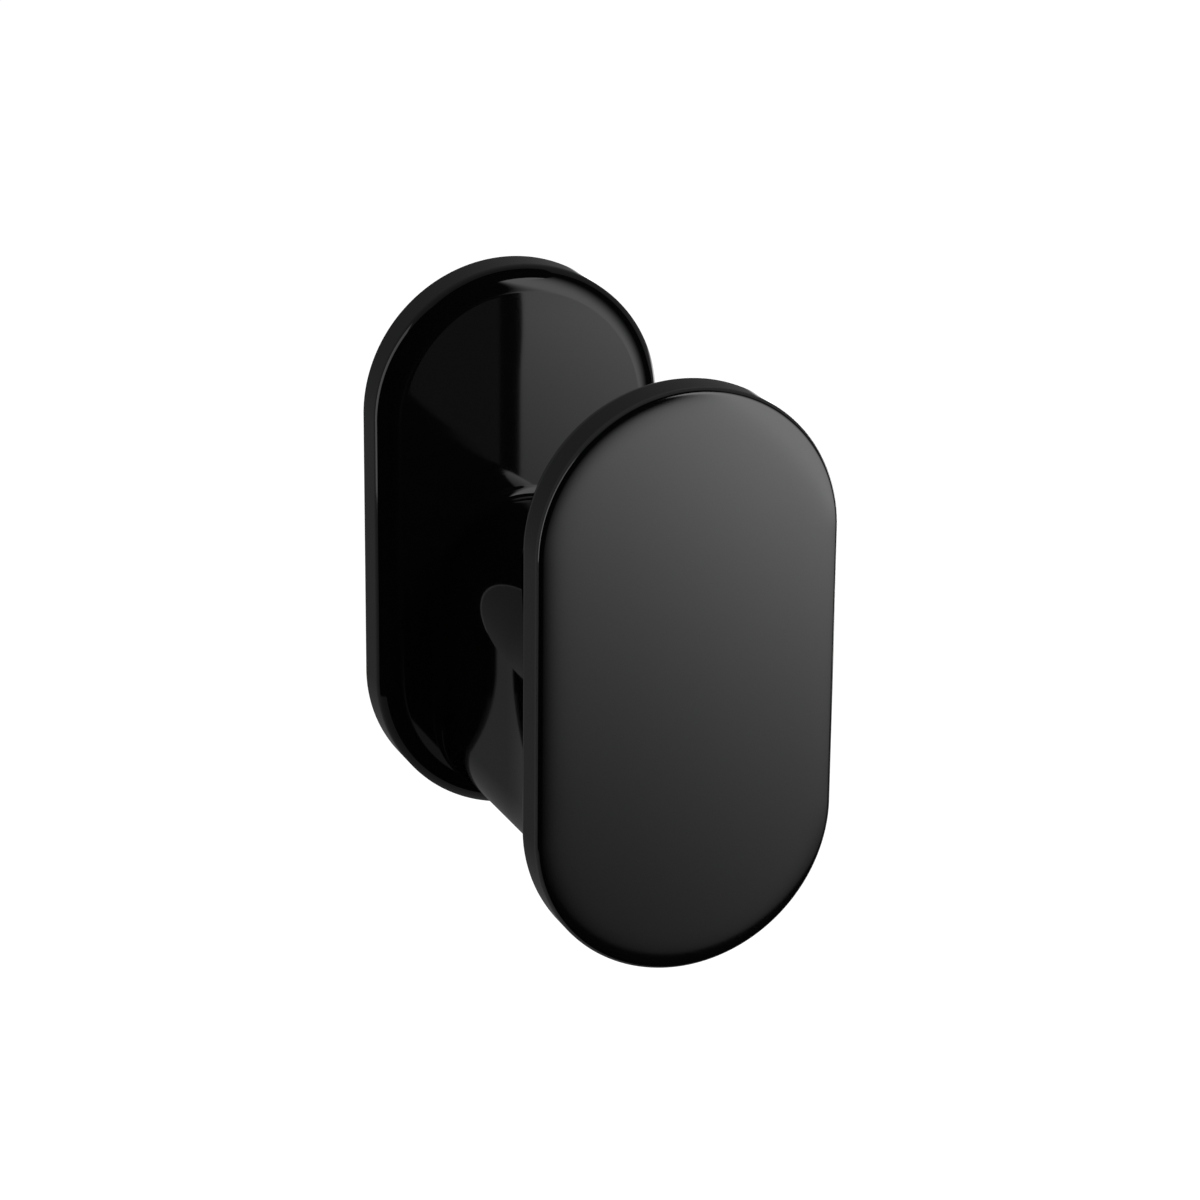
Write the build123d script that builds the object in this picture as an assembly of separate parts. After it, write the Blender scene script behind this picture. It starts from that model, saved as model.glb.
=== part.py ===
from build123d import *
import math
import os

# A pull for a glass door, cast as one piece: a base plate against the glass, an equal plate in
# front for the hand, and a low-set stem between them that flares sideways into the front plate.
# Millimetres. +Z is up, the front faces -Y, and the origin is the middle of the back face.

# Outline of both plates: straight sides and half-round ends
plate_width = 34.0      # side to side
plate_height = 65.0     # end to end

# Thickness of the plates, as the flat band of the rim and the rounded edges beside it
base_rim = 4.7          # the base plate's back edge is sharp
base_edge = 1.4         # rounding of the base plate's front edge
grip_rim = 3.0          # flat band round the front plate
grip_edge = 1.0         # rounding of the front plate's front edge
grip_back_edge = 2.0    # softer rounding behind, where the fingers pull
plate_gap = 43.2        # clear depth between the plates

# Stem: upright rounded section, straight from the base and then flaring to the front plate
stem_width = 19.6       # side to side along the straight part
stem_run = 17.2         # straight part of the section's height at the base plate
stem_length = 21.0      # straight part of its depth, measured from the base plate
root_fillet = 1.2       # hollow where the stem meets the base plate, dying out at its lower end
root_steps = 3          # sloped bands that make up the hollow
root_land = 0.1         # flat left between the stem's lower end and the base plate's rounded edge
flare_land = 0.1        # flat left between the flare's end and the front plate's back rounding
flare_run = 2.4         # straight part of the section's height at the front plate
flare_steps = 7         # sections along the flare

# Two blind tapped holes in the back, in line behind the stem
hole_radius = 2.1       # tapping size of an M5 screw
hole_depth = 14.0       # cored flat-ended in the casting, from the back face
hole_pitch = 20.0       # centre to centre, upright

# Depths are measured from the back face towards the front
base_thickness = base_rim + base_edge
grip_thickness = grip_back_edge + grip_rim + grip_edge
grip_depth = base_thickness + plate_gap
flare_start = base_thickness + stem_length
flare_length = plate_gap - stem_length

# The stem's lower end comes down to the base plate's rounded edge
stem_foot = base_edge + root_land
stem_height = stem_width + stem_run
stem_middle = stem_foot + (stem_height - plate_height) / 2

# In plan the flare is an arc that leaves the straight part smoothly and fills the front plate's
# flat back from side to side and at its lower end
flare_foot = grip_back_edge + flare_land
flare_width = plate_width - 2 * flare_foot
flare_height = flare_width + flare_run
flare_spread = (flare_width - stem_width) / 2
flare_radius = (flare_length**2 + flare_spread**2) / (2 * flare_spread)


def upright_plane(depth, height=0.0):
    """Plane across the part at a depth, facing the front, with its own x axis up."""
    return Plane(origin=(0, -depth, height), x_dir=(0, 0, 1), z_dir=(0, -1, 0))


def plate(depth, thickness):
    """Plate with half-round ends and sharp edges, its back face at the given depth."""
    outline = upright_plane(depth) * SlotOverall(plate_height, plate_width)
    return extrude(outline, thickness)


def front_edges(solid):
    return solid.faces().sort_by(Axis.Y)[0].edges()


def back_edges(solid):
    return solid.faces().sort_by(Axis.Y)[-1].edges()


def stem_section(depth):
    """Upright rounded section of the stem at a depth between the two plates."""
    rise = depth - base_thickness
    share = rise / plate_gap
    below_hollow = max(root_fillet - rise, 0.0)
    hollow = root_fillet - math.sqrt(root_fillet**2 - below_hollow**2)
    past_start = max(depth - flare_start, 0.0)
    spread = flare_radius - math.sqrt(flare_radius**2 - past_start**2)
    width = stem_width + 2 * (spread + hollow)
    height = stem_height + share * (flare_height - stem_height) + hollow
    foot = stem_foot + share * (flare_foot - stem_foot)
    return upright_plane(depth, foot + (height - plate_height) / 2) * SlotOverall(height, width)


def base_plate():
    solid = plate(0, base_thickness)
    return fillet(front_edges(solid), base_edge)


def grip_plate():
    solid = plate(grip_depth, grip_thickness)
    solid = fillet(front_edges(solid), grip_edge)
    return fillet(back_edges(solid), grip_back_edge)


def stem():
    """Root, straight part and flare, with a tongue that carries the flare's end into the front plate."""
    turns = [math.pi / 2 * i / root_steps for i in range(root_steps + 1)]
    depths = [base_thickness + root_fillet * (1 - math.cos(turn)) for turn in turns] + [flare_start]
    straight = loft([stem_section(depth) for depth in depths], ruled=True)
    step = flare_length / (flare_steps - 1)
    flare = loft([stem_section(flare_start + i * step) for i in range(flare_steps)])
    tongue = extrude(stem_section(grip_depth), grip_back_edge)
    return straight + flare + tongue


def tapped_hole(height):
    """Blind hole from the back face, as a solid to cut away."""
    start = (Align.CENTER, Align.CENTER, Align.MIN)
    return upright_plane(0, height) * Cylinder(hole_radius, hole_depth, align=start)


def pull_handle():
    body = base_plate() + stem() + grip_plate()
    for side in (-1, 1):
        body -= tapped_hole(stem_middle + side * hole_pitch / 2)
    return body


os.makedirs("parts", exist_ok=True)
export_step(pull_handle(), "parts/pull_handle.step")
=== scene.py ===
import math

import bmesh
import bpy
from bpy.props import FloatProperty, FloatVectorProperty, IntProperty, PointerProperty
from bpy.types import NodeSocket, Operator, Panel, PropertyGroup
from mathutils import Matrix, Vector


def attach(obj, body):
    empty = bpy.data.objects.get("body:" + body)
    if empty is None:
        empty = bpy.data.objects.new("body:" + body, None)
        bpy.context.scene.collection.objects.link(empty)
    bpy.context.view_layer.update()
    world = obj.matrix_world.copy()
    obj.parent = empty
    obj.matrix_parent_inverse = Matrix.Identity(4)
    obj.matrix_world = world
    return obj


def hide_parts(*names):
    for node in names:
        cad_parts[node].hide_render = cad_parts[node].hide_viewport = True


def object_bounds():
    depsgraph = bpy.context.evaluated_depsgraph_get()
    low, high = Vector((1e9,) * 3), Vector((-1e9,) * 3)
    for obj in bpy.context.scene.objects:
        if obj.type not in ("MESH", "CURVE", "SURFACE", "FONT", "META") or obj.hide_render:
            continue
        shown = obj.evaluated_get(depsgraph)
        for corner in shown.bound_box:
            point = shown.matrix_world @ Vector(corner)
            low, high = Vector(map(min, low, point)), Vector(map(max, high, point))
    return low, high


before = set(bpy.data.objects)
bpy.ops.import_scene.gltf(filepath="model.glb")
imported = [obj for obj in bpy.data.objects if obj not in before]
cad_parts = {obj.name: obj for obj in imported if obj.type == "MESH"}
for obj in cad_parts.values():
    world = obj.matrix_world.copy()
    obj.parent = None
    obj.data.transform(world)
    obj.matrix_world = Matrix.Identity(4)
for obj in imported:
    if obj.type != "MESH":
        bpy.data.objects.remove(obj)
CAD_LOW, CAD_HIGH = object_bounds()

bl_info = {
    "name": "Glass Door Pull",
    "version": (1, 0, 0),
    "blender": (4, 5, 0),
    "location": "3D View > Sidebar > Door Pull",
    "description": "Models a cast pull for a glass door and sets it in a white studio",
    "category": "Object",
}

# The CAD node that the modelled body replaces
NODE = "pull_handle"

# Lengths are metres. +Z is up, the front faces -Y, and depths run from the back face to the front
MM = 0.001
TOUCH = 1e-6                 # places closer than this are the same
OUTLINE_TOUCH = 20 * TOUCH   # the same for points that were scaled into an outline
CORE_START = 1.0 * MM        # start of a core pin, behind the back face
HOLE_COLUMNS = 48            # points round a screw hole
SMOOTH_ANGLE = math.radians(35)

# Black finish: refractive indices, a faint peel, and the grain's share in tint and roughness
GLOSS_INDEX = 1.5
SATIN_INDEX = 1.8
PEEL_SIZE = 1.2 * MM
PEEL_DETAIL = 2.0
GLOSS_PEEL = 0.0002 * MM
SATIN_PEEL = 0.0004 * MM
GRAIN_DETAIL = 3.0
GRAIN_RANGE = (0.3, 0.7)
TINT_SPREAD = 0.25
ROUGHNESS_SPREAD = 0.15

# Polished edges: how far in from the rim the finish's normals turn outwards
BASE_SOFT = 2.7 * MM
BASE_LEAN = 0.7              # weight of the base plate's face against its rim
BACK_SOFT = 5.0 * MM
FACE_SOFT = 0.6 * MM
FACE_ROLL = 0.36             # share of a faint roll that goes on inwards over the front face
FACE_REACH = 0.8 * MM        # distance in which that roll falls off

# White studio
AMBIENT = 0.4
FLOOR_SIZE = 8.0
FLOOR_WHITE = 0.8
FLOOR_GLOW = 0.7
KEY_SIZE = 0.6
KEY_DISTANCE = 1.2
KEY_AZIMUTH = 40.0
KEY_ELEVATION = 30.0
KEY_TARGET = Vector((0, -0.03, 0))
SENSOR_WIDTH = 36.0

# Cards that only reflections see. Azimuths are degrees from the front to the right, and the
# upright cards stand in a ring, each from its own start to the start of the next
CARD_RADIUS = 0.6
CARD_COLUMNS = 180           # points in the whole ring
CARD_SLACK = 0.01            # degrees by which a card's ends reach out
CARD_TOP = 0.8
CARD_LIFT = 0.01             # height of the lower cards above the floor
LEFT_START = -122.0
SOFTBOX_START = -20.0
RIGHT_START = 90.0
BACK_START = 104.0
BACK_END = LEFT_START + 360.0
TOP_SOFTBOX_BACK = -0.29
TOP_CARD_BACK = CARD_RADIUS / 2

# Glow of the cards. Pairs of azimuths or heights are the two ends of a soft edge
LEVEL_AZIMUTH = 22.0         # where the glow has its plain level
LEVEL_HEIGHT = -0.2
GREY_LEVEL = 0.105
GREY_RISE = 0.15             # growth of the grey with height
GLOW_LEVEL = 0.64
GLOW_TURN = 0.13             # growth of the softbox with azimuth
GLOW_RISE = 14.6             # growth of the softbox with height
GLOW_WIDEST = 24.0           # where its growth stops
GLOW_HIGHEST = -0.143
GLOW_SIDE = (30.0, 85.0)
UPPER_LEVEL = 1.9
UPPER_RISE = (-0.1, 0.05)
UPPER_START = (16.0, 26.0)
PANEL_LEVEL = 2.0
PANEL_START = (118.0, 124.0)
PANEL_SIDE = (172.0, 176.0)
PANEL_FOOT = (-0.25, -0.21)
PANEL_TOP = (-0.12, -0.04)
STRIP_LEVEL = 0.7
STRIP_SIDES = (-138.0, -122.0)   # the strip's edges are sharp
STRIP_ENDS = (-0.19, 0.40)


def length(name, description, default):
    return FloatProperty(
        name=name, description=description, default=default, min=0.0, unit="LENGTH", precision=5
    )


def offset(name, description, default):
    return FloatProperty(name=name, description=description, default=default, unit="LENGTH", precision=5)


def angle(name, description, degrees):
    return FloatProperty(name=name, description=description, default=math.radians(degrees), subtype="ANGLE")


def roughness(name, description, default):
    return FloatProperty(
        name=name, description=description, default=default, min=0.0, max=1.0, subtype="FACTOR"
    )


def steps(name, description, default, least):
    return IntProperty(name=name, description=description, default=default, min=least)


class PullSizes(PropertyGroup):
    """Sizes of the casting, in metres."""

    plate_width: length("Plate Width", "Both plates, side to side", CAD_HIGH.x - CAD_LOW.x)
    plate_height: length("Plate Height", "Both plates, end to end", CAD_HIGH.z - CAD_LOW.z)
    projection: length("Projection", "From the glass to the front face", CAD_HIGH.y - CAD_LOW.y)
    base_thickness: length("Base Thickness", "Plate against the glass", 6.1 * MM)
    base_edge: length("Base Edge", "Rounding of the base plate's front edge", 1.4 * MM)
    grip_thickness: length("Grip Thickness", "Plate in the hand", 6.0 * MM)
    grip_edge: length("Grip Edge", "Rounding of the front plate's front edge", 1.0 * MM)
    grip_back_edge: length("Grip Back Edge", "Rounding behind, where fingers pull", 2.0 * MM)
    stem_width: length("Stem Width", "Straight part of the stem, side to side", 19.6 * MM)
    stem_run: length("Stem Run", "Straight part of the section at the base plate", 17.2 * MM)
    stem_length: length("Stem Length", "Straight part of the stem's depth", 21.0 * MM)
    root_fillet: length("Root Fillet", "Hollow round the stem's root", 1.2 * MM)
    land: length("Land", "Flat left between a rounding and the next form", 0.1 * MM)
    flare_run: length("Flare Run", "Straight part of the section at the front plate", 2.4 * MM)
    hole_radius: length("Hole Radius", "Tapping size of the two screw holes", 2.1 * MM)
    hole_depth: length("Hole Depth", "Blind screw holes, from the back face", 14.0 * MM)
    hole_pitch: length("Hole Pitch", "Screw holes, centre to centre", 20.0 * MM)
    columns: steps("Columns", "Points round each outline", 192, 16)
    straight_steps: steps("Straight Steps", "Rings along the straight part of the stem", 10, 1)
    flare_steps: steps("Flare Steps", "Rings along the flare", 30, 4)
    edge_steps: steps("Edge Steps", "Facets across a rounded edge", 10, 2)


class PullFinish(PropertyGroup):
    """Colour and gloss of the black finish."""

    black: FloatVectorProperty(
        name="Black",
        description="Colour of the finish",
        subtype="COLOR",
        size=3,
        default=(0.002, 0.002, 0.0022),
    )
    gloss: roughness("Gloss Roughness", "Polished faces", 0.05)
    satin: roughness("Satin Roughness", "Front face", 0.1)
    grain: length("Grain", "Size of the finest grain in the finish", 0.25 * MM)


class StudioSetup(PropertyGroup):
    """Camera, floor and lamp."""

    azimuth: angle("Azimuth", "Camera, from the front", -22.1)
    elevation: angle("Elevation", "Camera, above level", 19.9)
    roll: angle("Roll", "Camera, about its own axis", 0.55)
    distance: length("Distance", "Camera to the picture's middle", 0.4826)
    aim_across: offset("Aim Across", "Picture's middle, right of the origin", 0.01128)
    aim_up: offset("Aim Up", "Picture's middle, above the origin", -0.00854)
    lens: FloatProperty(name="Lens", description="Focal length", default=124.3, unit="CAMERA")
    floor_drop: length("Floor Drop", "Floor below the lower end of the plates", 0.30)
    key_power: FloatProperty(
        name="Key Power", description="Lamp at the front right", default=6.0, unit="POWER"
    )


def outline(depth, half, low, high):
    """One upright rounded outline: its depth, half width, and the heights of its two arc centres."""
    return {"depth": depth, "half": half, "low": low, "high": high}


def plate_outline(sizes, depth):
    half = sizes.plate_width / 2
    centre = sizes.plate_height / 2 - half
    return outline(depth, half, -centre, centre)


def even_depths(start, end, count):
    """Depths from the start, evenly spaced, that stop short of the end."""
    return [start + (end - start) * i / count for i in range(count)]


def stem_depths(sizes):
    """Depths of the stem's outlines: close together in the hollow at the root, then even."""
    start = sizes.base_thickness
    root_end = start + sizes.root_fillet
    flare_start = start + sizes.stem_length
    end = sizes.projection - sizes.grip_thickness
    turn = math.pi / 2 / sizes.edge_steps
    root = [start + sizes.root_fillet * (1 - math.cos(turn * i)) for i in range(sizes.edge_steps)]
    straight = even_depths(root_end, flare_start, sizes.straight_steps)
    return root + straight + even_depths(flare_start, end, sizes.flare_steps) + [end]


def stem_outlines(sizes):
    """Outlines of the stem from its hollow root: straight first, then flaring on an arc."""
    start = sizes.base_thickness
    end = sizes.projection - sizes.grip_thickness
    flare_start = start + sizes.stem_length
    stem_foot = sizes.base_edge + sizes.land
    flare_foot = sizes.grip_back_edge + sizes.land
    spread = (sizes.plate_width - sizes.stem_width) / 2 - flare_foot
    radius = ((end - flare_start) ** 2 + spread**2) / (2 * spread)
    stem_height = sizes.stem_width + sizes.stem_run
    flare_height = sizes.plate_width - 2 * flare_foot + sizes.flare_run
    rings = []
    for depth in stem_depths(sizes):
        share = (depth - start) / (end - start)
        below = max(sizes.root_fillet - (depth - start), 0.0)
        hollow = sizes.root_fillet - math.sqrt(sizes.root_fillet**2 - below**2)
        flared = max(depth - flare_start, 0.0)
        half = sizes.stem_width / 2 + hollow + radius - math.sqrt(radius**2 - flared**2)
        foot = stem_foot + share * (flare_foot - stem_foot) - sizes.plate_height / 2
        head = foot + stem_height + share * (flare_height - stem_height) + hollow
        rings.append(outline(depth, half, foot + half, head - half))
    return rings


def select_points(body, wanted):
    """Selects the points of a mesh in edit mode whose number and place pass a test."""
    bpy.ops.mesh.select_all(action="DESELECT")
    mesh = bmesh.from_edit_mesh(body.data)
    for number, point in enumerate(mesh.verts):
        point.select = wanted(number, point.co)
    mesh.select_flush(True)
    bmesh.update_edit_mesh(body.data)


def on_outline(place, ring):
    """True if a point lies on an outline."""
    if abs(place.y + ring["depth"]) > TOUCH:
        return False
    centre = min(max(place.z, ring["low"]), ring["high"])
    return abs(math.hypot(place.x, place.z - centre) - ring["half"]) < OUTLINE_TOUCH


def first_outline(ring, columns):
    """A circle of points, split across its middle and pulled apart into the first outline."""
    bpy.ops.object.select_all(action="DESELECT")
    half_step = math.pi / columns
    bpy.ops.mesh.primitive_circle_add(
        vertices=columns,
        radius=ring["half"],
        rotation=(math.pi / 2, half_step, 0),
        location=(0, -ring["depth"], 0),
    )
    bpy.ops.object.transform_apply(location=True, rotation=True, scale=True)
    body = bpy.context.object
    bpy.ops.object.mode_set(mode="EDIT")
    for upper in (True, False):
        select_points(body, lambda number, place: (place.z > 0) == upper)
        bpy.ops.transform.translate(value=(0, 0, ring["high"] if upper else ring["low"]))
    bpy.ops.mesh.select_all(action="SELECT")
    return body


def next_outline(body, ring, previous):
    """Pulls the selected outline forward and fits its two halves to the next outline."""
    first = len(bmesh.from_edit_mesh(body.data).verts)
    step = ring["depth"] - previous["depth"]
    bpy.ops.mesh.extrude_region_move(TRANSFORM_OT_translate={"value": (0, -step, 0)})
    middle = (previous["low"] + previous["high"]) / 2
    points = bmesh.from_edit_mesh(body.data).verts
    upper = {number for number, point in enumerate(points) if number >= first and point.co.z > middle}
    grow = ring["half"] / previous["half"]
    for end in ("high", "low"):
        select_points(body, lambda number, place: number >= first and (number in upper) == (end == "high"))
        bpy.ops.transform.resize(value=(grow, 1, grow), center_override=(0, -ring["depth"], previous[end]))
        bpy.ops.transform.translate(value=(0, 0, ring[end] - previous[end]))
    select_points(body, lambda number, place: number >= first)


def round_edge(body, ring, radius, segments):
    """Rounds the edges that lie on one outline."""
    select_points(body, lambda number, place: on_outline(place, ring))
    bpy.ops.mesh.bevel(offset=radius, segments=segments, profile=0.5, affect="EDGES", clamp_overlap=False)


def model_body(sizes):
    """The casting from back to front, pulled out of one outline: base plate, stem and front plate."""
    back = plate_outline(sizes, 0.0)
    base_front = plate_outline(sizes, sizes.base_thickness)
    grip_back = plate_outline(sizes, sizes.projection - sizes.grip_thickness)
    front = plate_outline(sizes, sizes.projection)
    rings = [back, base_front, *stem_outlines(sizes), grip_back, front]
    body = first_outline(back, sizes.columns)
    for previous, ring in zip(rings, rings[1:]):
        next_outline(body, ring, previous)
    for end in (front, back):
        select_points(body, lambda number, place: on_outline(place, end))
        bpy.ops.mesh.edge_face_add()
    round_edge(body, base_front, sizes.base_edge, sizes.edge_steps)
    round_edge(body, grip_back, sizes.grip_back_edge, sizes.edge_steps)
    round_edge(body, front, sizes.grip_edge, sizes.edge_steps)
    bpy.ops.mesh.select_all(action="SELECT")
    bpy.ops.mesh.normals_make_consistent(inside=False)
    bpy.ops.object.mode_set(mode="OBJECT")
    return body


def core_pin(sizes, height):
    """Pin that shapes one screw hole, pulled out of a circle behind the back face."""
    bpy.ops.object.select_all(action="DESELECT")
    bpy.ops.mesh.primitive_circle_add(
        vertices=HOLE_COLUMNS,
        radius=sizes.hole_radius,
        fill_type="NGON",
        rotation=(math.pi / 2, 0, 0),
        location=(0, CORE_START, height),
    )
    bpy.ops.object.transform_apply(location=True, rotation=True, scale=True)
    pin = bpy.context.object
    bpy.ops.object.mode_set(mode="EDIT")
    bpy.ops.mesh.select_all(action="SELECT")
    pull = -sizes.hole_depth - CORE_START
    bpy.ops.mesh.extrude_region_move(TRANSFORM_OT_translate={"value": (0, pull, 0)})
    bpy.ops.mesh.select_all(action="SELECT")
    bpy.ops.mesh.normals_make_consistent(inside=False)
    bpy.ops.object.mode_set(mode="OBJECT")
    return pin


def core_back(body, sizes):
    """Cuts the two screw holes, in line behind the stem, out of the back face."""
    stem_foot = sizes.base_edge + sizes.land
    middle = stem_foot + (sizes.stem_width + sizes.stem_run - sizes.plate_height) / 2
    for side in (-1, 1):
        pin = core_pin(sizes, middle + side * sizes.hole_pitch / 2)
        cut = body.modifiers.new("screw_hole", "BOOLEAN")
        cut.object = pin
        cut.operation = "DIFFERENCE"
        cut.solver = "EXACT"
        bpy.context.view_layer.objects.active = body
        bpy.ops.object.modifier_apply(modifier=cut.name)
        bpy.data.objects.remove(pin)
    bpy.ops.object.select_all(action="DESELECT")
    body.select_set(True)


class Shader:
    """Adds nodes to a material or a world and links them up."""

    def __init__(self, owner):
        owner.use_nodes = True
        self.nodes = owner.node_tree.nodes
        self.links = owner.node_tree.links

    def feed(self, sockets, values):
        """Sets each socket to a number or a vector, or links it to another node's output."""
        for socket, value in zip(sockets, values):
            if isinstance(value, NodeSocket):
                self.links.new(value, socket)
            else:
                socket.default_value = value

    def math(self, operation, *values):
        node = self.nodes.new("ShaderNodeMath")
        node.operation = operation
        self.feed(node.inputs, values)
        return node.outputs["Value"]

    def vector(self, operation, *values):
        node = self.nodes.new("ShaderNodeVectorMath")
        node.operation = operation
        self.feed([socket for socket in node.inputs if socket.enabled], values)
        return node.outputs["Vector"]

    def remap(self, value, source, target, interpolation="LINEAR"):
        """Carries a value from one range over to another."""
        node = self.nodes.new("ShaderNodeMapRange")
        node.interpolation_type = interpolation
        names = ("Value", "From Min", "From Max", "To Min", "To Max")
        self.feed([node.inputs[name] for name in names], (value, *source, *target))
        return node.outputs["Result"]

    def fade_in(self, value, ends):
        """Nought before a soft edge, and one past it."""
        return self.remap(value, ends, (0.0, 1.0), "SMOOTHSTEP")

    def fade_out(self, value, ends):
        """One before a soft edge, and nought past it."""
        return self.remap(value, ends, (1.0, 0.0), "SMOOTHSTEP")

    def between(self, value, ends):
        """One between two values, and nought outside them."""
        low, high = ends
        above = self.math("GREATER_THAN", value, low)
        return self.math("MULTIPLY", above, self.math("LESS_THAN", value, high))

    def near(self, distance, reach):
        """One at no distance, falling to nought at the reach."""
        return self.math("MAXIMUM", self.math("MULTIPLY_ADD", distance, -1 / reach, 1.0), 0.0)

    def growth(self, value, rate, middle):
        """Power to which a glow grows with a value, nought at the middle."""
        return self.math("MULTIPLY_ADD", value, rate, -rate * middle)

    def patch(self, level, sides, ends):
        """Glow of one patch of a card, inside the marks for its sides and ends."""
        return self.math("MULTIPLY", self.math("MULTIPLY", sides, ends), level)

    def glow(self, level):
        """Sets the strength of a glowing material's light."""
        self.feed([self.nodes["Emission"].inputs["Strength"]], [level])

    def noise(self, size, detail):
        """Noise in the piece's own space."""
        place = self.nodes.new("ShaderNodeTexCoord")
        noise = self.nodes.new("ShaderNodeTexNoise")
        noise.inputs["Scale"].default_value = 1 / size
        noise.inputs["Detail"].default_value = detail
        self.links.new(place.outputs["Object"], noise.inputs["Vector"])
        return noise.outputs["Fac"]

    def place(self):
        """Place on the piece, across, along the depth and up."""
        place = self.nodes.new("ShaderNodeTexCoord")
        axes = self.nodes.new("ShaderNodeSeparateXYZ")
        self.links.new(place.outputs["Object"], axes.inputs["Vector"])
        return axes.outputs["X"], axes.outputs["Y"], axes.outputs["Z"]

    def card_place(self):
        """Azimuth and height of a point on a card."""
        across, along, up = self.place()
        turn = self.math("ARCTAN2", across, self.math("MULTIPLY", along, -1.0))
        return self.math("DEGREES", turn), up

    def seen_directly(self):
        """One for camera, glossy and transmission rays, and nought for the rest."""
        path = self.nodes.new("ShaderNodeLightPath")
        seen = self.math("MAXIMUM", path.outputs["Is Camera Ray"], path.outputs["Is Glossy Ray"])
        return self.math("MAXIMUM", seen, path.outputs["Is Transmission Ray"])


def from_rim(shader, sizes, across, up):
    """Distance inwards from the outline that both plates share, and the way outwards to it."""
    rim = plate_outline(sizes, 0.0)
    beyond = shader.math("SUBTRACT", shader.math("ABSOLUTE", up), rim["high"])
    rise = shader.math("MAXIMUM", beyond, 0.0)
    squares = shader.math("MULTIPLY_ADD", rise, rise, shader.math("MULTIPLY", across, across))
    inward = shader.math("SUBTRACT", rim["half"], shader.math("SQRT", squares))
    way = shader.nodes.new("ShaderNodeCombineXYZ")
    shader.links.new(across, way.inputs["X"])
    shader.links.new(shader.math("MULTIPLY", rise, shader.math("SIGN", up)), way.inputs["Z"])
    return inward, shader.vector("NORMALIZE", way.outputs["Vector"])


def polish_edge(material, sizes, depth, facing, across, deep, roll=0.0):
    """Turns a finish's normals at a plate's edge, between its rim and a face at a depth.

    They turn over a distance across the face and a distance down the rim, and facing is the
    face's way along Y, with its weight against the rim.
    """
    shader = Shader(material)
    place_x, place_y, place_z = shader.place()
    inward, outwards = from_rim(shader, sizes, place_x, place_z)
    below = shader.math("ABSOLUTE", shader.math("ADD", place_y, depth))
    rolling = shader.math("EXPONENT", shader.math("DIVIDE", inward, -FACE_REACH))
    share = shader.math("MULTIPLY_ADD", rolling, roll, shader.near(inward, across))
    side = shader.vector("MULTIPLY", outwards, share)
    face = shader.vector("MULTIPLY", (0.0, facing, 0.0), shader.near(below, deep))
    turned = shader.vector("NORMALIZE", shader.vector("ADD", side, face))
    shader.links.new(turned, shader.nodes["Bump"].inputs["Normal"])


def black_finish(name, finish, rough, index, peel):
    """Black coat with fine grain and a faint peel."""
    material = bpy.data.materials.new(name)
    shader = Shader(material)
    coat = shader.nodes["Principled BSDF"]
    coat.inputs["IOR"].default_value = index
    grain = shader.noise(finish.grain, GRAIN_DETAIL)
    tint = shader.nodes.new("ShaderNodeMix")
    tint.data_type = "RGBA"
    for end, share in (("A", 1 - TINT_SPREAD), ("B", 1 + TINT_SPREAD)):
        tint.inputs[end].default_value = (*(share * channel for channel in finish.black), 1)
    shader.links.new(grain, tint.inputs["Factor"])
    shader.links.new(tint.outputs["Result"], coat.inputs["Base Color"])
    rough_range = ((1 - ROUGHNESS_SPREAD) * rough, (1 + ROUGHNESS_SPREAD) * rough)
    shader.links.new(shader.remap(grain, GRAIN_RANGE, rough_range), coat.inputs["Roughness"])
    ripple = shader.nodes.new("ShaderNodeBump")
    ripple.inputs["Strength"].default_value = 1.0
    ripple.inputs["Distance"].default_value = peel
    shader.links.new(shader.noise(PEEL_SIZE, PEEL_DETAIL), ripple.inputs["Height"])
    shader.links.new(ripple.outputs["Normal"], coat.inputs["Normal"])
    return material


def gloss_finish(finish):
    """Gloss black for the stem, the back face and the screw holes."""
    return black_finish("gloss_black", finish, finish.gloss, GLOSS_INDEX, GLOSS_PEEL)


def base_finish(finish, sizes):
    """Gloss black for the base plate's rim and face, with a soft edge between them."""
    material = black_finish("base_black", finish, finish.gloss, GLOSS_INDEX, GLOSS_PEEL)
    polish_edge(material, sizes, sizes.base_thickness, -BASE_LEAN, BASE_SOFT, BASE_SOFT)
    return material


def grip_finish(finish, sizes):
    """Gloss black for the front plate's rim and back, with a wide soft edge behind."""
    material = black_finish("grip_black", finish, finish.gloss, GLOSS_INDEX, GLOSS_PEEL)
    depth = sizes.projection - sizes.grip_thickness
    polish_edge(material, sizes, depth, 1.0, BACK_SOFT, sizes.grip_back_edge)
    return material


def face_finish(finish, sizes):
    """Satin black for the front face, which rolls off into a tight edge."""
    material = black_finish("satin_black", finish, finish.satin, SATIN_INDEX, SATIN_PEEL)
    polish_edge(material, sizes, sizes.projection, -1.0, FACE_SOFT, FACE_SOFT, FACE_ROLL)
    return material


def dress(body, finish, sizes):
    """Gives each part of the casting its finish, by the depth of its faces."""
    materials = body.data.materials
    materials.append(gloss_finish(finish))
    materials.append(base_finish(finish, sizes))
    materials.append(grip_finish(finish, sizes))
    materials.append(face_finish(finish, sizes))
    stem, base, grip, front = range(len(materials))
    for face in body.data.polygons:
        depth = -face.center.y
        if depth > sizes.projection - sizes.grip_edge:
            face.material_index = front
        elif depth > sizes.projection - sizes.grip_thickness - TOUCH:
            face.material_index = grip
        elif TOUCH < depth < sizes.base_thickness + TOUCH:
            face.material_index = base
        else:
            face.material_index = stem


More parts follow.
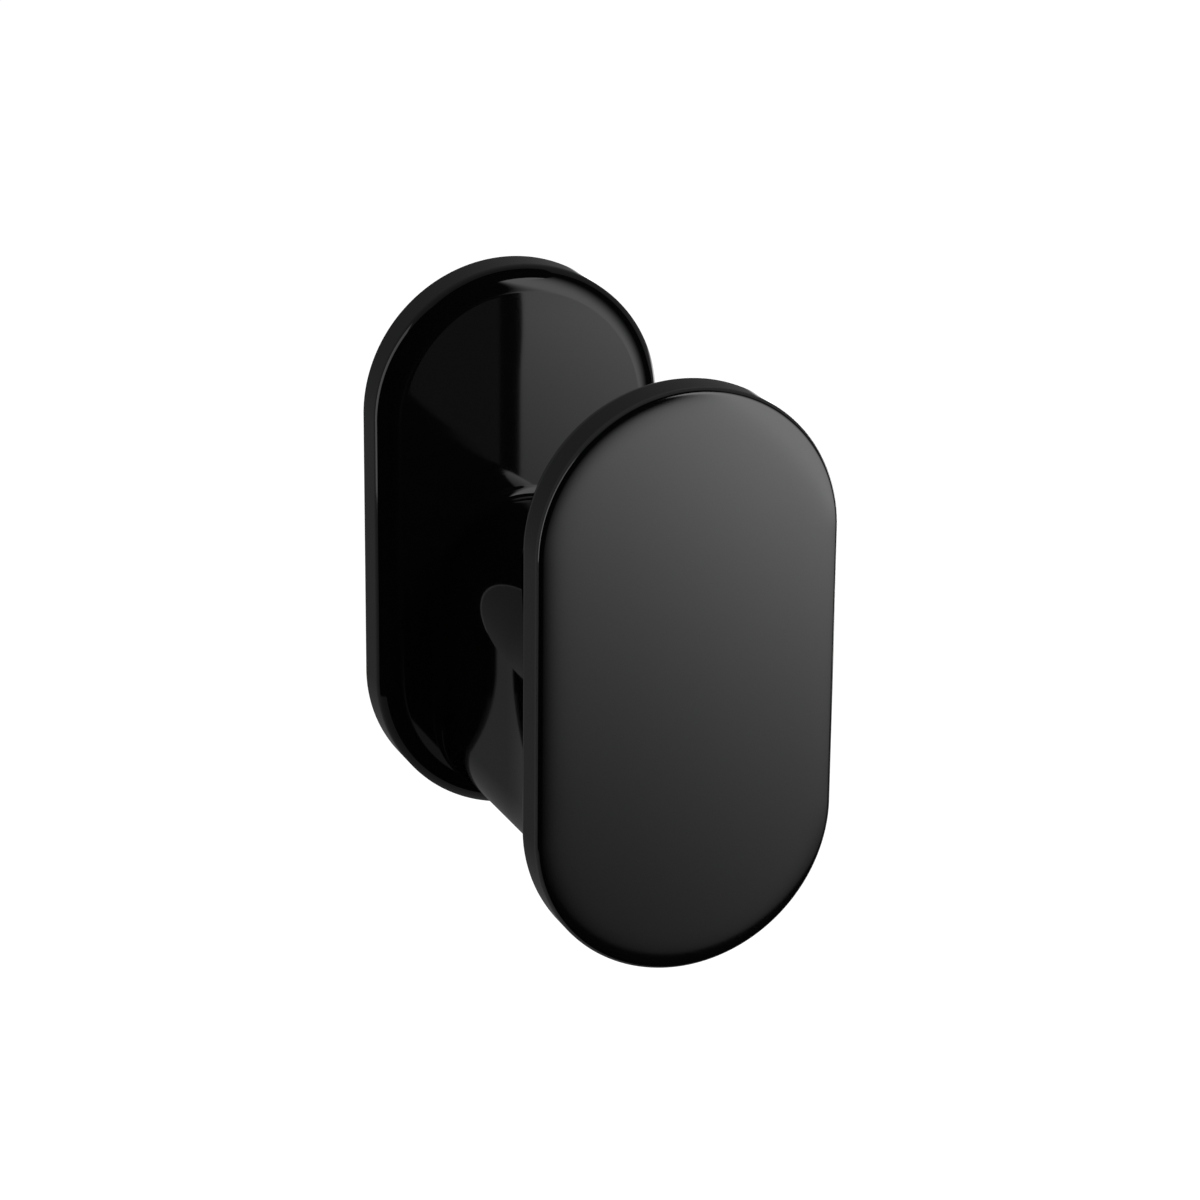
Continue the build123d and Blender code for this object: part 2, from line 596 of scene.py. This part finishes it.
def glow_material(name):
    """Glowing material, and its shader, whose glow is still to be set."""
    material = bpy.data.materials.new(name)
    shader = Shader(material)
    shader.nodes.remove(shader.nodes["Principled BSDF"])
    light = shader.nodes.new("ShaderNodeEmission")
    shader.links.new(light.outputs["Emission"], shader.nodes["Material Output"].inputs["Surface"])
    return material, shader


def floor_white():
    """White that the lamp lights and shades, with a glow that the camera and reflections see."""
    material, shader = glow_material("floor_white")
    shader.glow(shader.math("MULTIPLY", shader.seen_directly(), FLOOR_GLOW))
    plain = shader.nodes.new("ShaderNodeBsdfDiffuse")
    plain.inputs["Color"].default_value = (FLOOR_WHITE, FLOOR_WHITE, FLOOR_WHITE, 1)
    both = shader.nodes.new("ShaderNodeAddShader")
    shader.feed(both.inputs, (plain.outputs["BSDF"], shader.nodes["Emission"].outputs["Emission"]))
    shader.links.new(both.outputs["Shader"], shader.nodes["Material Output"].inputs["Surface"])
    return material


def white_surround(scene):
    """World that is white where it is seen or mirrored, and lights the rest softly."""
    scene.world = bpy.data.worlds.new("studio_white")
    shader = Shader(scene.world)
    background = shader.nodes["Background"]
    background.inputs["Color"].default_value = (1, 1, 1, 1)
    strength = shader.remap(shader.seen_directly(), (0.0, 1.0), (AMBIENT, 1.0))
    shader.links.new(strength, background.inputs["Strength"])


def back_glow():
    """Grey that gets lighter upwards, with a bright panel at the right and a strip at the left."""
    material, shader = glow_material("card_back")
    azimuth, height = shader.card_place()
    rise = shader.math("EXPONENT", shader.growth(height, GREY_RISE, LEVEL_HEIGHT))
    grey = shader.math("MULTIPLY", rise, GREY_LEVEL)
    sides = shader.math(
        "MULTIPLY", shader.fade_in(azimuth, PANEL_START), shader.fade_out(azimuth, PANEL_SIDE)
    )
    ends = shader.math("MULTIPLY", shader.fade_in(height, PANEL_FOOT), shader.fade_out(height, PANEL_TOP))
    panel = shader.patch(PANEL_LEVEL, sides, ends)
    strip = shader.patch(
        STRIP_LEVEL, shader.between(azimuth, STRIP_SIDES), shader.between(height, STRIP_ENDS)
    )
    shader.glow(shader.math("ADD", grey, shader.math("ADD", panel, strip)))
    return material


def softbox_glow():
    """Soft light that grows to the right and upwards and fades out at its right end."""
    material, shader = glow_material("card_softbox")
    azimuth, height = shader.card_place()
    turn = shader.growth(shader.math("MINIMUM", azimuth, GLOW_WIDEST), GLOW_TURN, LEVEL_AZIMUTH)
    rise = shader.growth(shader.math("MINIMUM", height, GLOW_HIGHEST), GLOW_RISE, LEVEL_HEIGHT)
    growth = shader.math("EXPONENT", shader.math("ADD", turn, rise))
    lower = shader.patch(GLOW_LEVEL, growth, shader.fade_out(height, UPPER_RISE))
    upper = shader.patch(
        UPPER_LEVEL, shader.fade_in(azimuth, UPPER_START), shader.fade_in(height, UPPER_RISE)
    )
    right_end = shader.fade_out(azimuth, GLOW_SIDE)
    shader.glow(shader.math("MULTIPLY", shader.math("ADD", lower, upper), right_end))
    return material


def top_glow():
    """Soft light overhead that goes on from the upper part of the front softbox."""
    material, shader = glow_material("card_top")
    azimuth = shader.card_place()[0]
    shader.glow(shader.math("MULTIPLY", shader.fade_in(azimuth, UPPER_START), UPPER_LEVEL))
    return material


def plain_glow(name, level):
    material, shader = glow_material(name)
    shader.glow(level)
    return material


def reflection_only(card):
    card.visible_camera = False
    card.visible_diffuse = False
    card.visible_shadow = False
    card.visible_transmission = False


def curved_card(name, start, end, low, high, material):
    """Upright card bent round the object between two azimuths."""
    bpy.ops.object.select_all(action="DESELECT")
    bpy.ops.mesh.primitive_circle_add(vertices=CARD_COLUMNS, radius=CARD_RADIUS, location=(0, 0, low))
    bpy.ops.object.transform_apply(location=True, rotation=True, scale=True)
    card = bpy.context.object
    card.name = name
    bpy.ops.object.mode_set(mode="EDIT")

    def outside(place):
        turn = math.degrees(math.atan2(place.x, -place.y)) - start + CARD_SLACK
        return turn % 360 > end - start + 2 * CARD_SLACK

    select_points(card, lambda number, place: outside(place))
    bpy.ops.mesh.delete(type="VERT")
    bpy.ops.mesh.select_all(action="SELECT")
    bpy.ops.mesh.extrude_region_move(TRANSFORM_OT_translate={"value": (0, 0, high - low)})
    bpy.ops.object.mode_set(mode="OBJECT")
    card.data.materials.append(material)
    reflection_only(card)


def level_card(name, height, back, front, material):
    """Level card across the studio, between two places along Y."""
    bpy.ops.object.select_all(action="DESELECT")
    middle = (0, (back + front) / 2, height)
    bpy.ops.mesh.primitive_plane_add(size=2 * CARD_RADIUS, location=middle)
    bpy.ops.object.transform_apply(location=True, rotation=True, scale=True)
    card = bpy.context.object
    card.name = name
    bpy.ops.object.mode_set(mode="EDIT")
    bpy.ops.mesh.select_all(action="SELECT")
    narrow = (back - front) / (2 * CARD_RADIUS)
    bpy.ops.transform.resize(value=(1, narrow, 1), center_override=middle)
    bpy.ops.object.mode_set(mode="OBJECT")
    card.data.materials.append(material)
    reflection_only(card)


def hang_cards(floor_level):
    """Cards round, above and below the object: lit at the front right, grey behind, dark elsewhere."""
    dark = plain_glow("card_dark", 0.0)
    grey = plain_glow("card_grey", GREY_LEVEL)
    curved_card("left_card", LEFT_START, SOFTBOX_START, floor_level, CARD_TOP, dark)
    curved_card("front_softbox", SOFTBOX_START, RIGHT_START, floor_level, CARD_TOP, softbox_glow())
    curved_card("right_card", RIGHT_START, BACK_START, floor_level, CARD_TOP, dark)
    curved_card("back_card", BACK_START, BACK_END, floor_level, CARD_TOP, back_glow())
    level_card("top_softbox", CARD_TOP, TOP_SOFTBOX_BACK, -CARD_RADIUS, top_glow())
    level_card("top_card", CARD_TOP, TOP_CARD_BACK, TOP_SOFTBOX_BACK, dark)
    level_card("back_top_card", CARD_TOP, CARD_RADIUS, TOP_CARD_BACK, grey)
    level_card("front_under_card", floor_level + CARD_LIFT, 0.0, -CARD_RADIUS, dark)
    level_card("back_under_card", floor_level + CARD_LIFT, CARD_RADIUS, 0.0, grey)


def lay_floor(level):
    bpy.ops.object.select_all(action="DESELECT")
    bpy.ops.mesh.primitive_plane_add(size=FLOOR_SIZE, location=(0, 0, level))
    floor = bpy.context.object
    floor.name = "floor"
    floor.data.materials.append(floor_white())


def direction(azimuth, elevation):
    """Way out from the origin, at an azimuth from the front to the right and an elevation."""
    level = math.cos(elevation)
    return Vector((math.sin(azimuth) * level, -math.cos(azimuth) * level, math.sin(elevation)))


def key_softbox(power):
    """Square soft lamp at the front right, which reflections don't see."""
    lamp = bpy.data.lights.new("key_softbox", "AREA")
    lamp.shape = "RECTANGLE"
    lamp.size = lamp.size_y = KEY_SIZE
    lamp.energy = power
    key = bpy.data.objects.new("key_softbox", lamp)
    bpy.context.scene.collection.objects.link(key)
    place = KEY_DISTANCE * direction(math.radians(KEY_AZIMUTH), math.radians(KEY_ELEVATION))
    turn = (KEY_TARGET - place).to_track_quat("-Z", "Y").to_matrix().to_4x4()
    key.matrix_world = Matrix.Translation(place) @ turn
    key.visible_glossy = False


def photo_camera(studio):
    """Camera at its angles and distance from the point that it looks at."""
    camera = bpy.data.objects.new("photo_camera", bpy.data.cameras.new("photo_camera"))
    bpy.context.scene.collection.objects.link(camera)
    back = direction(studio.azimuth, studio.elevation)
    right = Vector((0, 0, 1)).cross(back).normalized()
    up = back.cross(right)
    turn, lean = math.cos(studio.roll), math.sin(studio.roll)
    across = turn * right + lean * up
    along = turn * up - lean * right
    place = studio.aim_across * across + studio.aim_up * along + studio.distance * back
    camera.matrix_world = Matrix.Translation(place) @ Matrix((across, along, back)).transposed().to_4x4()
    camera.data.lens = studio.lens
    camera.data.sensor_width = SENSOR_WIDTH
    return camera


class DOORPULL_OT_cast_body(Operator):
    """Model the casting, core its screw holes and give it its black finish"""

    bl_idname = "doorpull.cast_body"
    bl_label = "Cast Body"
    bl_options = {"REGISTER", "UNDO"}

    def execute(self, context):
        sizes = context.scene.pull_sizes
        body = model_body(sizes)
        body.name = "pull_body"
        core_back(body, sizes)
        dress(body, context.scene.pull_finish, sizes)
        bpy.ops.object.shade_smooth_by_angle(angle=SMOOTH_ANGLE)
        even = body.modifiers.new("even_normals", "WEIGHTED_NORMAL")
        even.keep_sharp = True
        bpy.ops.object.modifier_apply(modifier=even.name)
        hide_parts(NODE)
        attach(body, "root")
        return {"FINISHED"}


class DOORPULL_OT_studio_stage(Operator):
    """Set the white floor, the reflected cards, the lamp and the camera"""

    bl_idname = "doorpull.studio_stage"
    bl_label = "Studio Stage"
    bl_options = {"REGISTER", "UNDO"}

    def execute(self, context):
        scene = context.scene
        studio = scene.studio_setup
        scene.view_settings.view_transform = "Standard"
        white_surround(scene)
        floor_level = CAD_LOW.z - studio.floor_drop
        lay_floor(floor_level)
        hang_cards(floor_level)
        key_softbox(studio.key_power)
        scene.camera = photo_camera(studio)
        return {"FINISHED"}


class DOORPULL_PT_panel(Panel):
    """Sizes, finish and studio of the door pull"""

    bl_idname = "DOORPULL_PT_panel"
    bl_label = "Door Pull"
    bl_space_type = "VIEW_3D"
    bl_region_type = "UI"
    bl_category = "Door Pull"

    def draw(self, context):
        layout = self.layout
        scene = context.scene
        for group in (scene.pull_sizes, scene.pull_finish, scene.studio_setup):
            box = layout.box()
            for name in group.__annotations__:
                box.prop(group, name)
        layout.operator(DOORPULL_OT_cast_body.bl_idname)
        layout.operator(DOORPULL_OT_studio_stage.bl_idname)


CLASSES = (
    PullSizes,
    PullFinish,
    StudioSetup,
    DOORPULL_OT_cast_body,
    DOORPULL_OT_studio_stage,
    DOORPULL_PT_panel,
)


def register():
    for cls in CLASSES:
        bpy.utils.register_class(cls)
    bpy.types.Scene.pull_sizes = PointerProperty(type=PullSizes)
    bpy.types.Scene.pull_finish = PointerProperty(type=PullFinish)
    bpy.types.Scene.studio_setup = PointerProperty(type=StudioSetup)


def unregister():
    del bpy.types.Scene.studio_setup
    del bpy.types.Scene.pull_finish
    del bpy.types.Scene.pull_sizes
    for cls in reversed(CLASSES):
        bpy.utils.unregister_class(cls)


def main():
    register()
    bpy.ops.doorpull.cast_body()
    bpy.ops.doorpull.studio_stage()


if __name__ == "__main__":
    main()
